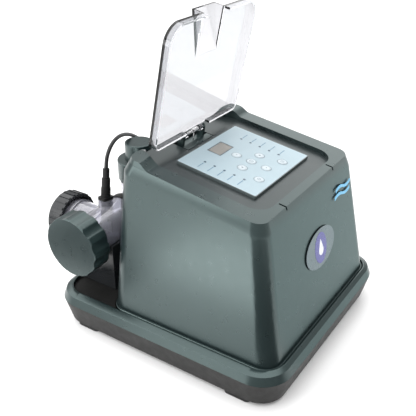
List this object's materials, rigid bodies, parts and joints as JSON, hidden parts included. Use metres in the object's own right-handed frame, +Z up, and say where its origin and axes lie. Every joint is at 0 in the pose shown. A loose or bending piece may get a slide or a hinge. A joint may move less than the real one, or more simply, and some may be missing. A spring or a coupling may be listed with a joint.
{
  "type": "salt_chlorine_generator",
  "caption": "Salt chlorine generator for an above-ground pool: control box with keypad and open clear lid on a tray, clear electrolytic cell with caps and flow sensor behind",
  "frame": {"origin": "on the ground, under the middle of the object's bounding box", "axes": "+Z is up; +X is to the right of someone who faces the control panel; +Y is the rear, toward the hose ports"},
  "size_m": [0.29, 0.3418, 0.3825],
  "materials": {
    "green_plastic": "smooth moulded plastic, low gloss",
    "black_plastic": "fine moulded texture",
    "black_gloss": "smooth moulded plastic",
    "dark_plastic": "fine moulded texture",
    "rubber": "dull",
    "membrane_blue": "satin film",
    "key_blue": "satin domes",
    "smoked_window": "smoked acrylic",
    "led_lens": "diffusing lens",
    "clear_plastic": "clear polycarbonate",
    "clear_cell": "clear polycarbonate",
    "badge_grey": "satin",
    "badge_purple": "satin",
    "badge_white": "satin",
    "wave_blue": "satin",
    "bright_steel": "drawn",
    "titanium": "matt oxide coating",
    "white_plastic": "natural moulding",
    "cable_jacket": "smooth jacket",
    "board_green": "solder mask",
    "relay_blue": "moulded case",
    "terminal_green": "moulded case",
    "plain_aluminium": "extruded",
    "core_steel": "varnished laminations",
    "coil_tape": "wound tape"
  },
  "bodies": {
    "base": {"badge_disc": "badge_purple", "badge_mark": "badge_white", "badge_plate": "badge_grey", "base_pan": "black_plastic", "base_screws": "bright_steel", "board_screws": "bright_steel", "cap_seals": "rubber", "capacitors": "black_gloss", "cell_body": "clear_cell", "cell_cradle": "black_gloss", "cell_straps": "black_plastic", "control_board": "board_green", "deck_screws": "bright_steel", "display_module": "black_gloss", "display_window": "smoked_window", "electrode_combs": "white_plastic", "electrode_plates": "titanium", "electrode_studs": "titanium", "foot_pads": "rubber", "fuse_holder": "black_plastic", "head_hub": "green_plastic", "heat_sink": "plain_aluminium", "hinge_bracket": "green_plastic", "hinge_pin": "bright_steel", "hinge_spring": "bright_steel", "housing_shell": "green_plastic", "led_dots": "led_lens", "mains_gland": "black_plastic", "membrane_overlay": "membrane_blue", "paddle_pin": "bright_steel", "panel_frame": "dark_plastic", "power_board": "board_green", "relays": "relay_blue", "sensor_cable": "cable_jacket", "sensor_gland": "black_plastic", "sensor_plug": "black_plastic", "sensor_stem": "black_plastic", "tact_switches": "black_plastic", "terminal_block": "terminal_green", "top_deck": "green_plastic", "transformer_bracket": "bright_steel", "transformer_coil": "coil_tape", "transformer_core": "core_steel", "tray_shell": "green_plastic", "wave_emblem": "wave_blue"},
    "lid_body": {"lid": "clear_plastic"},
    "end_cap_left_body": {"end_cap_left": "green_plastic"},
    "end_cap_right_body": {"end_cap_right": "green_plastic"},
    "hose_cap_left_body": {"hose_cap_left": "black_gloss"},
    "hose_cap_right_body": {"hose_cap_right": "black_gloss"},
    "head_ring_body": {"head_ring": "green_plastic"},
    "flow_paddle_body": {"flow_paddle": "white_plastic"},
    "key_up_body": {"key_up": "key_blue"},
    "key_right_body": {"key_right": "key_blue"},
    "key_center_body": {"key_center": "key_blue"},
    "key_left_body": {"key_left": "key_blue"},
    "key_down_body": {"key_down": "key_blue"},
    "key_front_left_body": {"key_front_left": "key_blue"},
    "key_front_right_body": {"key_front_right": "key_blue"}
  },
  "joints": [
    {"name": "lid_hinge", "type": "hinge", "parent": "base", "child": "lid_body", "pos_m": [0, 0.02866, 0.235], "axis": [1, 0, 0], "range_deg": [0, 87.1]},
    {"name": "key_up_press", "type": "slide", "parent": "base", "child": "key_up_body", "axis": [0, 0.1599, -0.9871], "range_m": [0, 0.0005], "stiffness_N_per_m": 800},
    {"name": "key_right_press", "type": "slide", "parent": "base", "child": "key_right_body", "axis": [0, 0.1599, -0.9871], "range_m": [0, 0.0005], "stiffness_N_per_m": 800},
    {"name": "key_center_press", "type": "slide", "parent": "base", "child": "key_center_body", "axis": [0, 0.1599, -0.9871], "range_m": [0, 0.0005], "stiffness_N_per_m": 800},
    {"name": "key_left_press", "type": "slide", "parent": "base", "child": "key_left_body", "axis": [0, 0.1599, -0.9871], "range_m": [0, 0.0005], "stiffness_N_per_m": 800},
    {"name": "key_down_press", "type": "slide", "parent": "base", "child": "key_down_body", "axis": [0, 0.1599, -0.9871], "range_m": [0, 0.0005], "stiffness_N_per_m": 800},
    {"name": "key_front_left_press", "type": "slide", "parent": "base", "child": "key_front_left_body", "axis": [0, 0.1599, -0.9871], "range_m": [0, 0.0005], "stiffness_N_per_m": 800},
    {"name": "key_front_right_press", "type": "slide", "parent": "base", "child": "key_front_right_body", "axis": [0, 0.1599, -0.9871], "range_m": [0, 0.0005], "stiffness_N_per_m": 800},
    {"name": "end_cap_left_turn", "type": "hinge", "parent": "base", "child": "end_cap_left_body", "pos_m": [-0.1275, 0.1063, 0.1194], "axis": [1, 0, 0], "continuous": true},
    {"name": "hose_cap_left_turn", "type": "hinge", "parent": "base", "child": "hose_cap_left_body", "pos_m": [-0.0825, 0.16, 0.1194], "axis": [0, 1, 0], "continuous": true},
    {"name": "end_cap_right_turn", "type": "hinge", "parent": "base", "child": "end_cap_right_body", "pos_m": [0.1275, 0.1063, 0.1194], "axis": [1, 0, 0], "continuous": true},
    {"name": "hose_cap_right_turn", "type": "hinge", "parent": "base", "child": "hose_cap_right_body", "pos_m": [0.0825, 0.16, 0.1194], "axis": [0, 1, 0], "continuous": true},
    {"name": "head_ring_turn", "type": "hinge", "parent": "base", "child": "head_ring_body", "pos_m": [-0.006, 0.1063, 0.174], "axis": [0, 0, 1], "continuous": true},
    {"name": "flow_paddle_swing", "type": "hinge", "parent": "base", "child": "flow_paddle_body", "pos_m": [-0.0726, 0.111, 0.125], "axis": [0, 1, 0], "range_deg": [-35, 35], "stiffness_Nm_per_rad": 0.002}
  ]
}
